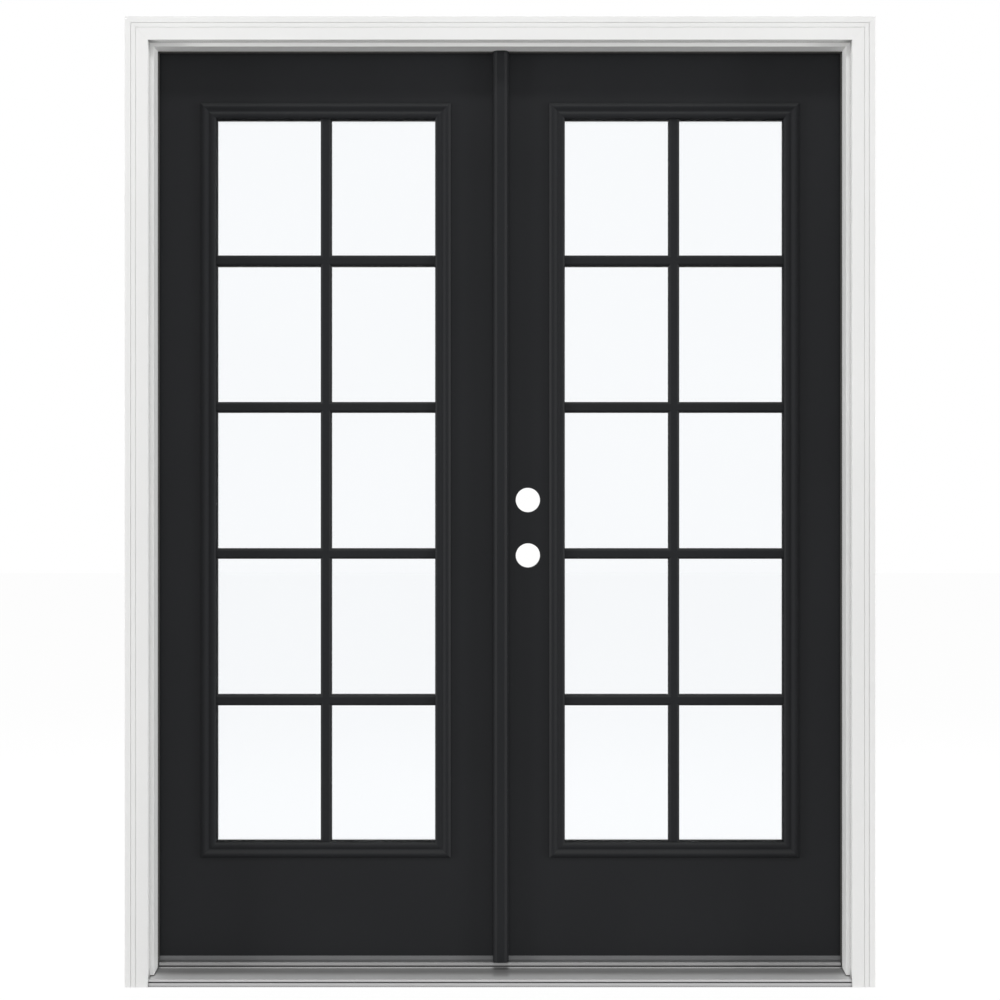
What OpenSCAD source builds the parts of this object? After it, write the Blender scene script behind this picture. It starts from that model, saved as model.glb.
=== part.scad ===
// Prehung double french door: an active and a passive leaf with ten-light glazing,
// hung inward in a rabbeted jamb set with brickmould, an aluminium sill and an astragal.
// The outside faces -Y, the room lies at +Y, and the active leaf is the one at +X.

/* [Jamb set] */
// Width over the two side jambs
frame_w = 1562.1; // [1500:0.1:1700]
// Height from the underside of the sill to the top of the head jamb
frame_h = 2070.1; // [2000:0.1:2200]
// Depth of the jambs through the wall
jamb_depth = 115.9; // [112:0.1:125]
// Thickness of a jamb behind the leaf
jamb_t = 17.5; // [16.5:0.1:22]
// Height of the stop above the rabbet
stop_rise = 10; // [9:0.1:12]
// Width of the rabbet that the leaf closes into
rabbet_w = 55.4; // [55:0.1:58]

/* [Brickmould] */
// Width of the brickmould face
brick_w = 50.8; // [46:0.1:60]
// Thickness of the brickmould
brick_t = 31.75; // [28:0.1:36]
// Overlap of the brickmould on the edge of the jamb
brick_lap = 19; // [14:0.1:22]
// Distance from the outer edge to the first groove
groove_1 = 12.8; // [9:0.1:14]
// Distance from the outer edge to the second groove
groove_2 = 22.5; // [19:0.1:25]

/* [Sill] */
// Height of the sill nose
nose_h = 15.8; // [14:0.1:20]
// Rise of the deck from the nose to the dam
deck_rise = 8.4; // [8:0.1:12]
// Thickness of the deck metal
deck_t = 2.2; // [1.6:0.1:3]
// Height of the dam above the deck
dam_h = 2.4; // [1.5:0.1:3]
// Distance of the nose behind the face of the brickmould
nose_set = 2; // [1:0.1:6]
// Height of the top of the threshold cap
cap_top = 36; // [35:0.1:38]
// Thickness of the threshold cap
cap_t = 6; // [4:0.1:7]

/* [Leaves] */
// Thickness of a leaf
leaf_t = 44.45; // [42:0.05:46]
// Gap round a leaf at the jambs and the head
leaf_gap = 2.5; // [2:0.1:4]
// Height of the bottom edge of a leaf above the underside of the sill
leaf_bottom = 49.6; // [48:0.1:56]
// Distance of each meeting edge from the middle of the unit
meet_half = 4.5; // [4.2:0.1:7]
// Height of the door bottom seal under a leaf
bottom_seal_h = 13; // [10:0.1:13.3]

/* [Glazing] */
// Distance from the hinge edge of a leaf to the light frame
hinge_stile = 100.6; // [90:0.5:130]
// Distance from the meeting edge of a leaf to the light frame
lock_stile = 104.1; // [96:0.5:130]
// Distance from the top edge of a leaf to the light frame
top_rail = 119.6; // [100:0.1:160]
// Distance from the bottom edge of a leaf to the light frame
bottom_rail = 216.4; // [180:0.1:260]
// Width of the light frame band
lite_band = 34.5; // [33:0.1:42]
// Width of the light frame band on the room side
inner_band = 34; // [33:0.1:40]
// Overlap of the light frame on the leaf
lite_lap = 15; // [12:0.1:16]
// Overlap of the light frame on the glass
glass_lap = 12.5; // [11:0.1:13]
// Height of the light frame above the leaf
lite_proud = 9; // [8:0.1:12]
// Thickness of each glass pane
pane_t = 3.2; // [3:0.1:5]
// Space between the panes
pane_gap = 15.6; // [12:0.1:18]
// Width of the outer glazing bars
bar_w = 22.8; // [18:0.1:28]
// Width of the inner glazing bars
inner_bar_w = 23.4; // [14:0.1:26]
// Thickness of the glazing bars
bar_t = 9; // [6:0.1:10]
// Panes across a leaf
panes_across = 2; // [1:1:3]
// Panes up a leaf
panes_up = 5; // [3:1:6]

/* [Astragal] */
// Width of the astragal face
astragal_w = 34.6; // [32:0.1:42]
// Width of the flat front of the astragal
astragal_flat = 16; // [12:0.1:20]
// Offset of the astragal face towards the active leaf
astragal_shift = 1.8; // [0:0.1:3]
// Height of the astragal face above the leaves
astragal_proud = 26; // [20:0.1:30]
// Height of the straight sides of the astragal above the leaves
astragal_side = 11.5; // [8:0.1:16]
// Thickness of the web on the meeting edge of the passive leaf
web_t = 5; // [4:0.1:5.2]
// Gap between the astragal and the face of the active leaf
seal_gap = 3; // [2.5:0.1:4]

/* [Hinges and locks] */
// Height of a hinge
hinge_h = 101.6; // [90:0.1:115]
// Thickness of a hinge plate
plate_t = 2.3; // [2:0.1:3]
// Width of a hinge plate on the jamb and leaf edges
plate_w = 32; // [28:0.1:38]
// Radius of the corners of a hinge plate
plate_corner = 6; // [3:0.1:10]
// Radius of a hinge knuckle
knuckle_r = 6.2; // [5.5:0.1:7]
// Radius of a hinge pin
pin_r = 3.5; // [3:0.1:4]
// Distance from the top of a leaf to the middle of its top hinge
hinge_top = 180; // [150:1:220]
// Distance from the bottom of a leaf to the middle of its bottom hinge
hinge_foot = 280; // [200:1:320]
// Radius of a lock bore
bore_r = 27; // [26:0.1:28]
// Distance from the meeting edge to the lock bores
bore_backset = 57.3; // [50:0.1:72]
// Height of the lower lock bore above the bottom of the leaf
bore_height = 882.7; // [800:0.1:1000]
// Distance between the two lock bores
bore_spacing = 122.7; // [110:0.1:150]
// Radius of the latch bores in the meeting edge
latch_r = 12.7; // [11:0.1:13]
// Radius of a flush bolt
bolt_r = 5; // [4:0.1:6]
// Length of a flush bolt
bolt_len = 200; // [150:1:260]
// Travel of a flush bolt
bolt_throw = 19; // [12:0.5:22]

/* [Hidden] */
$fn = 48;

// Sides of the unit
ACTIVE = 1;
PASSIVE = -1;
// Overshoot of a cut past the face that it opens
over = 1;
// Clearance between a moving piece and what it passes
run = 0.3;
// Clearance of a turning or sliding fit, on the radius
fit = 0.08;
// Clearance of a piece laid in its seat
seat = 0.25;

// Jamb set
jamb_x = frame_w / 2;
rabbet_x = jamb_x - jamb_t;
stop_x = rabbet_x - stop_rise;
stop_y = jamb_depth - rabbet_w;
rabbet_z = frame_h - jamb_t;
stop_z = rabbet_z - stop_rise;
kerf_w = 3;
kerf_d = 8;
kerf_set = 4;

// Brickmould
brick_x = jamb_x + brick_w - brick_lap;
brick_z = frame_h + brick_w - brick_lap;
brick_in_x = brick_x - brick_w;
brick_edge_r = 1.6;
groove_w = 1.3;
groove_d = 2;
step_w = 2.4;
step_d = 1.8;

// Sill
nose_y = nose_set - brick_t;
dam_set = 1.5;
dam_y = stop_y - dam_set;
dam_w = 2;
deck_end_z = nose_h + deck_rise;
dam_z = deck_end_z + dam_h;
cap_set = 0.5;
cap_y = stop_y + cap_set;
cap_bottom = cap_top - cap_t;
nose_groove_z = 8.8;
nose_groove_h = 2.8;
nose_groove_d = 7;
nose_ease = 1.2;
cap_ease = 1;
cap_rib = 3;
gasket_t = 1.8;
cap_screw_r = 2;
cap_screw_head_r = 4;
cap_screw_head_h = 2.2;
cap_screw_set = 12;
cap_screw_pitch = 330;

// Leaves
leaf_x0 = meet_half;
leaf_x1 = rabbet_x - leaf_gap;
leaf_w = leaf_x1 - leaf_x0;
leaf_y0 = jamb_depth - leaf_t;
leaf_y1 = jamb_depth;
leaf_mid_y = (leaf_y0 + leaf_y1) / 2;
leaf_z0 = leaf_bottom;
leaf_z1 = rabbet_z - leaf_gap;

// Glazing
lite_w = leaf_w - hinge_stile - lock_stile;
lite_h = leaf_z1 - leaf_z0 - top_rail - bottom_rail;
lite_x = leaf_x1 - hinge_stile - lite_w / 2;
lite_z = leaf_z0 + bottom_rail + lite_h / 2;
unit_t = 2 * pane_t + pane_gap;
glass_seat = (leaf_t - unit_t) / 2;
sight_w = lite_w - 2 * lite_band;
sight_h = lite_h - 2 * lite_band;
hole_w = lite_w - 2 * lite_lap;
hole_h = lite_h - 2 * lite_lap;
pane_w = sight_w + 2 * glass_lap;
pane_h = sight_h + 2 * glass_lap;
spacer_inset = 2;
spacer_w = glass_lap - spacer_inset - 2.5;
bar_bevel_w = 4.4;
bar_bevel_d = 2.6;
lite_screw_r = 1.9;
lite_screw_head_r = 3.4;
lite_screw_u = (lite_lap + lite_band - glass_lap) / 2;
lite_screw_grip = 6;
lite_screw_pitch = 300;

// Hinges
hinge_x = rabbet_x - leaf_gap / 2;
hinge_y = jamb_depth + knuckle_r + run;
hinge_zs = [leaf_z0 + hinge_foot, (leaf_z0 + hinge_foot + leaf_z1 - hinge_top) / 2, leaf_z1 - hinge_top];
knuckles = 5;
knuckle_h = hinge_h / knuckles;
screw_r = 2.2;
screw_head_r = 4.4;
screw_len = 24;
jamb_screw_len = jamb_t - 2.5;
screw_rows = [-0.36, -0.13, 0.13, 0.36];
screw_stagger = 5;
pin_head_r = 5;
pin_head_h = 4;

// Locks and flush bolts
latch_zs = [leaf_z0 + bore_height, leaf_z0 + bore_height + bore_spacing];
bore_x = leaf_x0 + bore_backset;
face_plate_h = 57.2;
face_plate_w = 25.4;
face_plate_d = 4;
bolt_x = leaf_x0 + 11;
bolt_set = 1;
bolt_room = 0.8;
bolt_tab_w = 6;
bolt_tab_h = 16;
bolt_slot_from = 60;
strike_h = 32;
strike_w = 16;
strike_d = 20;

// Astragal
astragal_x0 = astragal_shift - astragal_w / 2;
astragal_x1 = astragal_shift + astragal_w / 2;
astragal_front = leaf_y0 - astragal_proud;
astragal_lift = 2.6;
astragal_z0 = cap_top + astragal_lift;
astragal_z1 = stop_z - 2 * run;
astragal_bevel = (astragal_w - astragal_flat) / 2;
shoulder_w = 5.8;
shoulder_d = 3.5;
astragal_screw_r = 2;
astragal_screw_head = 2;
astragal_screw_pitch = 380;
astragal_screw_y = leaf_y1 - leaf_t / 5;

black_paint = [0.15, 0.153, 0.16];
white_paint = [0.92, 0.92, 0.92];
aluminium = [0.66, 0.66, 0.67];
steel = [0.72, 0.72, 0.74];
dark_seal = [0.2, 0.2, 0.2];
grey_vinyl = [0.4, 0.4, 0.41];
composite = [0.55, 0.53, 0.5];
clear_glass = [0.9, 0.95, 0.97, 0.35];

function arc(cx, cy, r, from, to, steps) =
    [for (i = [0:steps]) [cx + r * cos(from + (to - from) * i / steps),
                          cy + r * sin(from + (to - from) * i / steps)]];

// Pieces are drawn for the active side and mirrored for the passive one
module on_side(side) {
    if (side == ACTIVE) children();
    else mirror([1, 0, 0]) children();
}

// A bar along X whose section is drawn in Y and Z
module along_x(x0, x1) {
    translate([x0, 0, 0]) rotate([90, 0, 90]) linear_extrude(x1 - x0) children();
}

// A plate in X and Z, cut through from y0 to y1
module through_y(y0, y1) {
    translate([0, y1, 0]) rotate([90, 0, 0]) linear_extrude(y1 - y0) children();
}

// A round bar or hole between two heights
module rod_z(x, y, z0, z1, r) {
    translate([x, y, z0]) cylinder(h = z1 - z0, r = r);
}

// Section of a side jamb: the rabbet lies behind the stop, with a kerf for the weatherstrip
module jamb_section() {
    polygon([
        [jamb_x, 0], [stop_x, 0], [stop_x, stop_y],
        [stop_x + kerf_set, stop_y], [stop_x + kerf_set, stop_y - kerf_d],
        [stop_x + kerf_set + kerf_w, stop_y - kerf_d], [stop_x + kerf_set + kerf_w, stop_y],
        [rabbet_x, stop_y], [rabbet_x, jamb_depth], [jamb_x, jamb_depth]
    ]);
}

module head_section() {
    polygon([
        [0, frame_h], [0, stop_z], [stop_y, stop_z],
        [stop_y, stop_z + kerf_set], [stop_y - kerf_d, stop_z + kerf_set],
        [stop_y - kerf_d, stop_z + kerf_set + kerf_w], [stop_y, stop_z + kerf_set + kerf_w],
        [stop_y, rabbet_z], [jamb_depth, rabbet_z], [jamb_depth, frame_h]
    ]);
}

// The stepped outline of the head, which the side jambs are cut to
module head_outline() {
    polygon([
        [-over, frame_h + over], [-over, stop_z], [stop_y, stop_z], [stop_y, rabbet_z],
        [jamb_depth + over, rabbet_z], [jamb_depth + over, frame_h + over]
    ]);
}

// Everything below the top of the sill deck, or a lift above it, which the side jambs are cut to
module sill_outline(lift) {
    polygon([
        [-brick_t, -over], [-brick_t, deck_z(-brick_t) + lift],
        [dam_y - lift, deck_z(dam_y - lift) + lift], [dam_y - lift, dam_z + lift],
        [dam_y + dam_w + lift, dam_z + lift],
        [dam_y + dam_w + lift, deck_end_z + lift], [jamb_depth + over, deck_end_z + lift],
        [jamb_depth + over, -over]
    ]);
}

function deck_z(y) = nose_h + deck_rise * (y - nose_y) / (dam_y - nose_y);

module side_jamb(side) {
    color(white_paint) on_side(side) difference() {
        linear_extrude(frame_h) jamb_section();
        along_x(stop_x - over, jamb_x + over) head_outline();
        along_x(stop_x - over, jamb_x + over) sill_outline(gasket_t);
        for (z = hinge_zs) hinge_mortise(z, rabbet_x - over, rabbet_x + plate_t);
    }
}

// A foam gasket under the foot of a side jamb, cut to the shape of the sill
module sill_gasket(side) {
    color(dark_seal) on_side(side) intersection() {
        linear_extrude(cap_top + gasket_t) jamb_section();
        along_x(stop_x - over, jamb_x + over) difference() {
            sill_outline(gasket_t);
            sill_outline(0);
        }
    }
}

module head_jamb() {
    color(white_paint) difference() {
        along_x(-jamb_x, jamb_x) head_section();
        rod_z(-bolt_x, leaf_mid_y, rabbet_z - over, frame_h + over, bolt_r + bolt_room);
    }
}

// Section of the sill deck: nose with a drip groove, sloping deck, dam and the channel under the cap
module deck_section() {
    polygon([
        [nose_y, 0], [nose_y, nose_groove_z], [nose_y + nose_groove_d, nose_groove_z],
        [nose_y + nose_groove_d, nose_groove_z + nose_groove_h],
        [nose_y, nose_groove_z + nose_groove_h], [nose_y, nose_h - nose_ease],
        [nose_y + nose_ease, deck_z(nose_y + nose_ease)],
        [dam_y, deck_end_z], [dam_y, dam_z], [dam_y + dam_w, dam_z],
        [dam_y + dam_w, deck_end_z], [jamb_depth, deck_end_z], [jamb_depth, deck_end_z - deck_t],
        [dam_y, deck_end_z - deck_t], [nose_y + nose_groove_d + deck_t, deck_z(nose_y) - deck_t],
        [nose_y + nose_groove_d + deck_t, 0]
    ]);
}

// The deck runs under the jambs, and its nose stops between the brickmould legs
module sill_plan() {
    polygon([
        [-jamb_x, jamb_depth], [-jamb_x, 0],
        [seat - brick_in_x, 0], [seat - brick_in_x, nose_y - over],
        [brick_in_x - seat, nose_y - over], [brick_in_x - seat, 0],
        [jamb_x, 0], [jamb_x, jamb_depth]
    ]);
}

module sill_deck() {
    color(aluminium) intersection() {
        along_x(-jamb_x, jamb_x) deck_section();
        linear_extrude(cap_top) sill_plan();
    }
}

module sill_base() {
    color(composite) intersection() {
        along_x(-jamb_x, jamb_x) polygon([
            [nose_y + nose_groove_d + deck_t, 0],
            [nose_y + nose_groove_d + deck_t, deck_z(nose_y) - deck_t],
            [dam_y, deck_end_z - deck_t], [jamb_depth, deck_end_z - deck_t], [jamb_depth, 0]
        ]);
        linear_extrude(cap_top) sill_plan();
    }
}

module cap_screw_places() {
    count = floor((rabbet_x - 60) / cap_screw_pitch);
    for (i = [-count:count]) translate([i * cap_screw_pitch, 0, 0]) children();
}

// The cap stands on two ribs in the channel behind the dam, with a lip over the dam in front.
// Its front corners are cut back for the feet of the weatherstrips.
module threshold_cap() {
    strip_x = stop_x - strip_lip - seat;
    rib_y = leaf_y0 + 2 * seat;
    color(aluminium) difference() {
        along_x(seat - rabbet_x, rabbet_x - seat) polygon([
            [cap_y, cap_bottom], [cap_y, cap_top - cap_ease], [cap_y + cap_ease, cap_top],
            [jamb_depth - cap_ease, cap_top], [jamb_depth, cap_top - cap_ease], [jamb_depth, deck_end_z],
            [jamb_depth - cap_rib, deck_end_z], [jamb_depth - cap_rib, cap_bottom],
            [rib_y + cap_rib, cap_bottom], [rib_y + cap_rib, deck_end_z],
            [rib_y, deck_end_z], [rib_y, cap_bottom]
        ]);
        for (side = [PASSIVE, ACTIVE]) on_side(side)
            translate([strip_x, cap_y - over, cap_bottom - over])
                cube([rabbet_x, leaf_y0 - cap_y + over, cap_t + 2 * over]);
        cap_screw_places() cap_screw(seat);
        rod_z(-bolt_x, leaf_mid_y, cap_bottom - over, cap_top + over, bolt_r + bolt_room);
    }
}

module cap_screw(grow) {
    rise = grow > 0 ? over : 0;
    translate([0, jamb_depth - cap_screw_set, 0]) {
        translate([0, 0, cap_top - cap_screw_head_h])
            cylinder(h = cap_screw_head_h + rise, r = cap_screw_head_r + grow);
        translate([0, 0, deck_end_z])
            cylinder(h = cap_top - cap_screw_head_h / 2 - deck_end_z, r = cap_screw_r + grow);
    }
}

module cap_screws() {
    color(steel) cap_screw_places() cap_screw(0);
}

// Section of the brickmould: u runs in from the outer edge and v stands out from the jamb
brick_points = concat(
    [[0, 0]],
    arc(brick_edge_r, brick_t - brick_edge_r, brick_edge_r, 180, 90, 4),
    [[groove_1, brick_t], [groove_1 + groove_w / 2, brick_t - groove_d], [groove_1 + groove_w, brick_t]],
    [[groove_2, brick_t], [groove_2 + step_w / 2, brick_t - step_d], [groove_2 + step_w, brick_t]],
    arc(brick_w - brick_edge_r, brick_t - brick_edge_r, brick_edge_r, 90, 0, 4),
    [[brick_w, 0]]
);

module side_brickmould(side) {
    color(white_paint) on_side(side) intersection() {
        linear_extrude(brick_z) polygon([for (p = brick_points) [brick_x - p[0], -p[1]]]);
        through_y(-brick_t - over, over) polygon([
            [brick_in_x, 0], [brick_x, 0], [brick_x, brick_z], [brick_in_x, brick_z - brick_w]
        ]);
    }
}

module head_brickmould() {
    color(white_paint) intersection() {
        along_x(-brick_x, brick_x) polygon([for (p = brick_points) [-p[1], brick_z - p[0]]]);
        through_y(-brick_t - over, over) polygon([
            [-brick_x, brick_z], [brick_x, brick_z],
            [brick_in_x, brick_z - brick_w], [-brick_in_x, brick_z - brick_w]
        ]);
    }
}

// Section of the compressed weatherstrip: w runs in from the stop face and d back from the stop
strip_lip = 3;
strip_w = 10.5;
strip_d = leaf_y0 - stop_y - run;
strip_round = 3.2;
strip_points = concat(
    arc(strip_round - strip_lip, strip_round, strip_round, 270, 180, 5),
    arc(strip_round - strip_lip, strip_d - strip_round, strip_round, 180, 90, 5),
    arc(strip_w - strip_lip - strip_round, strip_d - strip_round, strip_round, 90, 0, 5),
    [[strip_w - strip_lip, 0], [kerf_set + kerf_w - seat, 0], [kerf_set + kerf_w - seat, seat - kerf_d],
     [kerf_set + seat, seat - kerf_d], [kerf_set + seat, 0]]
);

module side_weatherstrip(side) {
    color(dark_seal) on_side(side) translate([0, 0, dam_z + seat])
        linear_extrude(stop_z - strip_lip - dam_z - 2 * seat)
            polygon([for (p = strip_points) [stop_x + p[0], stop_y + p[1]]]);
}

// The bulb over the meeting edges is notched so that the astragal can swing clear of it
module head_weatherstrip() {
    reach = rabbet_x - seat;
    notch = 1.5;
    color(dark_seal) difference() {
        along_x(-reach, reach) polygon([for (p = strip_points) [stop_y + p[1], stop_z + p[0]]]);
        translate([astragal_x0 - notch, stop_y, stop_z - strip_lip - over])
            cube([astragal_w + 2 * notch, strip_d + over, strip_w + 2 * over]);
    }
}

// A plate in Y and Z whose two corners away from the pin are round
module plate_blank(x0, x1, y1, z, w, h, r) {
    translate([x0, y1 - w, z]) {
        translate([0, r, -h / 2]) cube([x1 - x0, w - r, h]);
        translate([0, 0, r - h / 2]) cube([x1 - x0, w, h - 2 * r]);
        for (s = [-1, 1])
            translate([0, r, s * (h / 2 - r)]) rotate([0, 90, 0]) cylinder(h = x1 - x0, r = r);
    }
}

module hinge_mortise(z, x0, x1) {
    plate_blank(x0, x1, jamb_depth + over, z, plate_w + seat + over, hinge_h + 2 * seat, plate_corner);
}

// One plate with its share of the knuckles: dir is 1 towards the jamb and -1 towards the leaf
module hinge_plate(z, dir, first) {
    face = hinge_x + dir * leaf_gap / 2;
    x0 = dir > 0 ? face : face - plate_t;
    difference() {
        union() {
            plate_blank(x0, x0 + plate_t, jamb_depth, z, plate_w, hinge_h, plate_corner);
            for (k = [first:2:knuckles - 1]) {
                z0 = z - hinge_h / 2 + k * knuckle_h + run / 2;
                translate([x0, jamb_depth - over, z0])
                    cube([plate_t, hinge_y - jamb_depth + over, knuckle_h - run]);
                rod_z(hinge_x, hinge_y, z0, z0 + knuckle_h - run, knuckle_r);
            }
        }
        rod_z(hinge_x, hinge_y, z - hinge_h, z + hinge_h, pin_r + fit);
        hinge_screw_places(z, dir) hinge_screw(screw_len, fit);
    }
}

module hinge_screw_places(z, dir) {
    face = hinge_x + dir * leaf_gap / 2;
    for (i = [0:3])
        translate([face, jamb_depth - plate_w / 2 + (i % 2 == 0 ? -screw_stagger : screw_stagger) - 1,
                   z + screw_rows[i] * hinge_h])
            rotate([0, dir * 90, 0]) children();
}

// A countersunk screw along +Z, with its flat head at the origin
module hinge_screw(len, grow) {
    cylinder(h = plate_t, r1 = screw_head_r + grow, r2 = screw_r + grow);
    cylinder(h = len, r = screw_r + grow);
}

module hinge_plates(side, dir) {
    color(steel) on_side(side) for (z = hinge_zs) hinge_plate(z, dir, dir > 0 ? 0 : 1);
}

module hinge_screws(side, dir) {
    len = dir > 0 ? jamb_screw_len : screw_len;
    color(steel) on_side(side) for (z = hinge_zs) hinge_screw_places(z, dir) hinge_screw(len, 0);
}

module hinge_pins(side) {
    color(steel) on_side(side) for (z = hinge_zs) {
        rod_z(hinge_x, hinge_y, z - hinge_h / 2, z + hinge_h / 2 + 2 * run, pin_r);
        rod_z(hinge_x, hinge_y, z + hinge_h / 2 + run, z + hinge_h / 2 + pin_head_h, pin_head_r);
    }
}

// The slab of a leaf, with the light opening and the hinge mortises
module slab(side) {
    color(black_paint) on_side(side) difference() {
        translate([leaf_x0, leaf_y0, leaf_z0]) cube([leaf_w, leaf_t, leaf_z1 - leaf_z0]);
        translate([lite_x - hole_w / 2, leaf_y0 - over, lite_z - hole_h / 2])
            cube([hole_w, leaf_t + 2 * over, hole_h]);
        for (z = hinge_zs) hinge_mortise(z, leaf_x1 - plate_t, leaf_x1 + over);
        if (side == ACTIVE) lock_cuts();
        else bolt_cuts();
    }
}

// Two lock bores through the face, each met by a latch bore and face plate recess from the edge
module lock_cuts() {
    for (z = latch_zs) {
        translate([bore_x, leaf_y1 + over, z]) rotate([90, 0, 0])
            cylinder(h = leaf_t + 2 * over, r = bore_r);
        translate([leaf_x0 - over, leaf_mid_y, z]) rotate([0, 90, 0])
            cylinder(h = bore_backset, r = latch_r);
        translate([leaf_x0 - over, leaf_mid_y - face_plate_w / 2, z - face_plate_h / 2])
            cube([face_plate_d + over, face_plate_w, face_plate_h]);
    }
}

// Channels for the two flush bolts with slots for their thumb tabs, and pockets behind the strikes
module bolt_cuts() {
    channel = bolt_len + bolt_throw + 2;
    rod_z(bolt_x, leaf_mid_y, leaf_z1 - channel, leaf_z1 + over, bolt_r + fit);
    rod_z(bolt_x, leaf_mid_y, leaf_z0 - over, leaf_z0 + channel, bolt_r + fit);
    for (z = [leaf_z1 - bolt_slot_from, leaf_z0 + bolt_slot_from]) bolt_slot(z, bolt_x);
    for (z = latch_zs) strike_cut(z, strike_d);
}

// A slot that leaves a thumb tab room to slide both ways from its place
module bolt_slot(z, depth) {
    h = bolt_tab_h + 2 * bolt_throw + 2;
    translate([-depth, leaf_mid_y - bolt_tab_w / 2 - seat, z - h / 2])
        cube([2 * depth, bolt_tab_w + 2 * seat, h]);
}

module strike_cut(z, depth) {
    translate([-depth, leaf_mid_y - strike_w / 2, z - strike_h / 2]) cube([2 * depth, strike_w, strike_h]);
}

// A rectangular frame of four mitred members: points give the section, u in from the edge and v outward
module mitred_frame(w, h, band, points) {
    for (k = [0:3]) {
        len = k % 2 == 0 ? w : h;
        half = (k % 2 == 0 ? h : w) / 2;
        rotate([0, 90 * k, 0]) intersection() {
            translate([0, 0, -half]) rotate([90, 0, 0]) along_x(-len / 2, len / 2) polygon(points);
            through_y(-leaf_t, leaf_t) polygon([
                [-len / 2, -half], [len / 2, -half],
                [len / 2 - band, band - half], [band - len / 2, band - half]
            ]);
        }
    }
}

// Section of a light frame: a square edge and a bead on the leaf, a hollow, an inner bead
// and the wall to the glass
lite_edge = 4.8;
lite_peak = 8.5;
lite_valley = 5.4;
valley_u = 19.5;
inner_bead = 8.5;
inner_peak_v = 7.2;
sight_v = 1.5;
function lite_points(band) = let (inner_peak_u = band - inner_bead) concat(
    [[0, 0], [0, lite_edge]],
    [for (i = [1:6]) let (t = i / 6) [lite_peak * t, lite_edge + (lite_proud - lite_edge) * sin(90 * t)]],
    [for (i = [1:6]) let (t = i / 6)
        [lite_peak + (valley_u - lite_peak) * t,
         lite_valley + (lite_proud - lite_valley) * (1 + cos(180 * t)) / 2]],
    [for (i = [1:4]) let (t = i / 4)
        [valley_u + (inner_peak_u - valley_u) * t, lite_valley + (inner_peak_v - lite_valley) * sin(90 * t)]],
    [for (i = [1:5]) let (t = i / 5)
        [inner_peak_u + inner_bead * sin(90 * t),
         sight_v + (inner_peak_v - sight_v) * cos(90 * t)]],
    [[band, -glass_seat], [lite_lap + seat, -glass_seat], [lite_lap + seat, 0]]
);

module place_lite(side) {
    on_side(side) translate([lite_x, 0, lite_z]) children();
}

// Turns a piece made for the outer face to the inner one
module to_inside() {
    translate([0, 2 * leaf_mid_y, 0]) mirror([0, 1, 0]) children();
}

module outer_lite_frame(side) {
    color(black_paint) place_lite(side) translate([0, leaf_y0, 0])
        mitred_frame(lite_w, lite_h, lite_band, lite_points(lite_band));
}

module inner_lite_frame(side) {
    color(black_paint) place_lite(side) difference() {
        to_inside() translate([0, leaf_y0, 0])
            mitred_frame(lite_w, lite_h, inner_band, lite_points(inner_band));
        lite_screw_places() lite_screw(seat);
    }
}

module lite_screw_places() {
    up = floor((lite_h / 2 - 60) / lite_screw_pitch);
    for (s = [-1, 1], i = [-up:up])
        translate([s * (lite_w / 2 - lite_screw_u), 0, i * lite_screw_pitch]) children();
    for (s = [-1, 1])
        translate([0, 0, s * (lite_h / 2 - lite_screw_u)]) children();
}

// A screw from the room side that draws the two light frames together round the glass
module lite_screw(grow) {
    head = leaf_y1 + lite_valley - 2;
    tip = leaf_y0 + glass_seat - lite_screw_grip;
    rotate([-90, 0, 0]) {
        translate([0, 0, head]) cylinder(h = grow > 0 ? lite_proud : 1.5, r = lite_screw_head_r + grow);
        translate([0, 0, tip]) cylinder(h = head - tip, r = lite_screw_r + grow);
    }
}

module lite_screws(side) {
    color(steel) place_lite(side) lite_screw_places() lite_screw(0);
}

// Glazing bars moulded as one grid: bevelled bars that stand on the glass and end at the light frame
module bar_grid(width, band) {
    pitch_x = (sight_w + bar_w) / panes_across;
    pitch_z = (sight_h + bar_w) / panes_up;
    reach_w = lite_w - 2 * band;
    reach_h = lite_h - 2 * band;
    section = [[-width / 2, 0], [-width / 2, bar_t - bar_bevel_d], [bar_bevel_w - width / 2, bar_t],
               [width / 2 - bar_bevel_w, bar_t], [width / 2, bar_t - bar_bevel_d], [width / 2, 0]];
    translate([0, leaf_y0 + glass_seat, 0]) {
        for (i = [1:1:panes_across - 1])
            translate([i * pitch_x - sight_w / 2 - bar_w / 2, 0, -reach_h / 2])
                linear_extrude(reach_h) polygon([for (p = section) [p[0], -p[1]]]);
        for (i = [1:1:panes_up - 1])
            translate([0, 0, i * pitch_z - sight_h / 2 - bar_w / 2])
                along_x(-reach_w / 2, reach_w / 2) polygon([for (p = section) [-p[1], p[0]]]);
    }
}

module outer_grille(side) {
    color(black_paint) place_lite(side) bar_grid(bar_w, lite_band);
}

module inner_grille(side) {
    color(black_paint) place_lite(side) to_inside() bar_grid(inner_bar_w, inner_band);
}

module pane(y0) {
    translate([-pane_w / 2, y0, -pane_h / 2]) cube([pane_w, pane_t, pane_h]);
}

module outer_pane(side) {
    color(clear_glass) place_lite(side) pane(leaf_y0 + glass_seat);
}

module inner_pane(side) {
    color(clear_glass) place_lite(side) pane(leaf_y1 - glass_seat - pane_t);
}

module spacer(side) {
    w = pane_w - 2 * spacer_inset;
    h = pane_h - 2 * spacer_inset;
    color(dark_seal) place_lite(side) translate([0, leaf_y0 + glass_seat + pane_t, 0]) difference() {
        translate([-w / 2, 0, -h / 2]) cube([w, pane_gap, h]);
        translate([spacer_w - w / 2, -over, spacer_w - h / 2])
            cube([w - 2 * spacer_w, pane_gap + 2 * over, h - 2 * spacer_w]);
    }
}

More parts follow.
